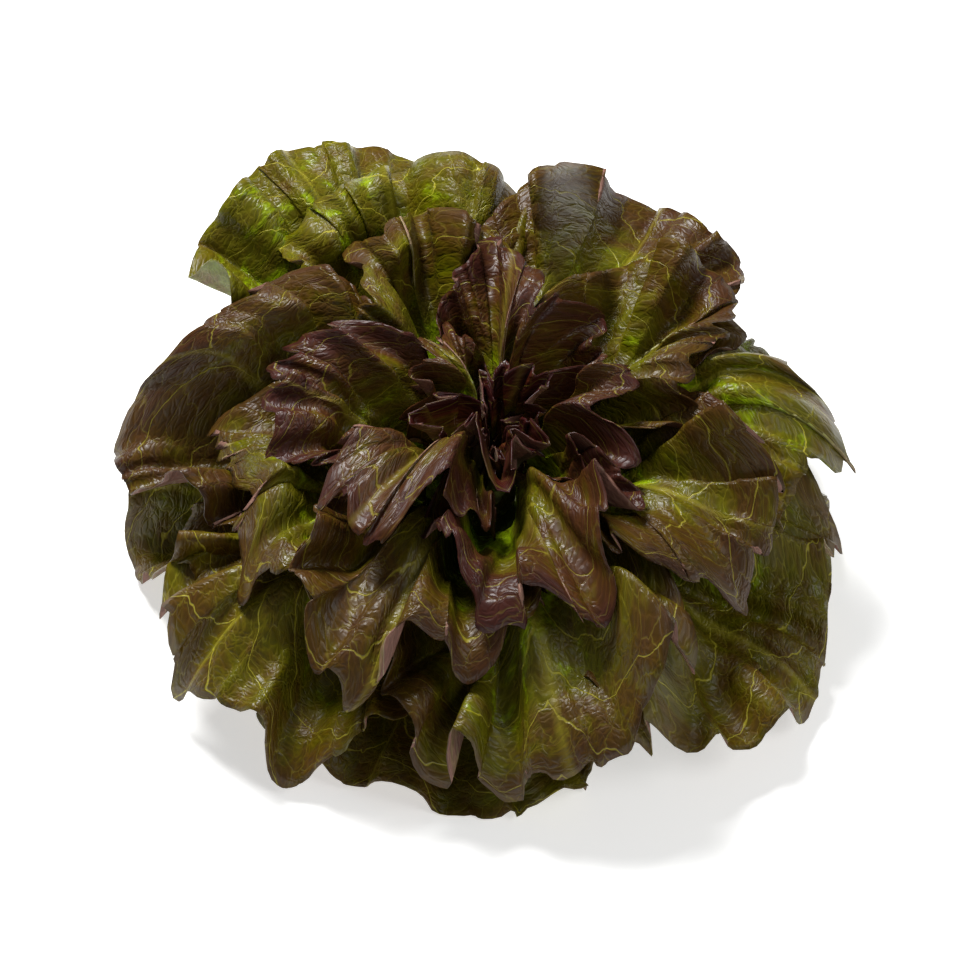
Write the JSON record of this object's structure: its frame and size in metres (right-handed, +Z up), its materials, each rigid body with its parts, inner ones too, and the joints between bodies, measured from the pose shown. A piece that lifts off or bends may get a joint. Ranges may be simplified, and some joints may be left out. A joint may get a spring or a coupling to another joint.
{
  "type": "batavia lettuce",
  "caption": "Loose open head of red batavia lettuce with frilled leaves round a cut stem stub, standing upright on its cut face.",
  "frame": {"origin": "centre of the stem's cut face", "axes": "+Z up along the stem, -Y to the front, +X to the viewer's right"},
  "size_m": [0.328, 0.3208, 0.1269],
  "materials": {
    "stem": "moist pale cut stem, faintly browned on its cut face",
    "outer_leaf": "waxy blistered leaf, olive green flushed brown, pale veins",
    "middle_leaf": "waxy blistered leaf, green at its foot and red-brown at its frilled margin",
    "inner_leaf": "glossy dark red-brown leaf, bright green at its foot",
    "heart": "glossy dark maroon young leaves, yellow-green at their feet"
  },
  "bodies": {
    "root": {"heart": "heart", "inner_leaf_18": "inner_leaf", "inner_leaf_19": "inner_leaf", "inner_leaf_20": "inner_leaf", "inner_leaf_21": "inner_leaf", "inner_leaf_22": "inner_leaf", "inner_leaf_23": "inner_leaf", "middle_leaf_10": "middle_leaf", "middle_leaf_11": "middle_leaf", "middle_leaf_12": "middle_leaf", "middle_leaf_13": "middle_leaf", "middle_leaf_14": "middle_leaf", "middle_leaf_15": "middle_leaf", "middle_leaf_16": "middle_leaf", "middle_leaf_17": "middle_leaf", "outer_leaf_01": "outer_leaf", "outer_leaf_02": "outer_leaf", "outer_leaf_03": "outer_leaf", "outer_leaf_04": "outer_leaf", "outer_leaf_05": "outer_leaf", "outer_leaf_06": "outer_leaf", "outer_leaf_07": "outer_leaf", "outer_leaf_08": "outer_leaf", "outer_leaf_09": "outer_leaf", "stem": "stem"}
  },
  "joints": []
}
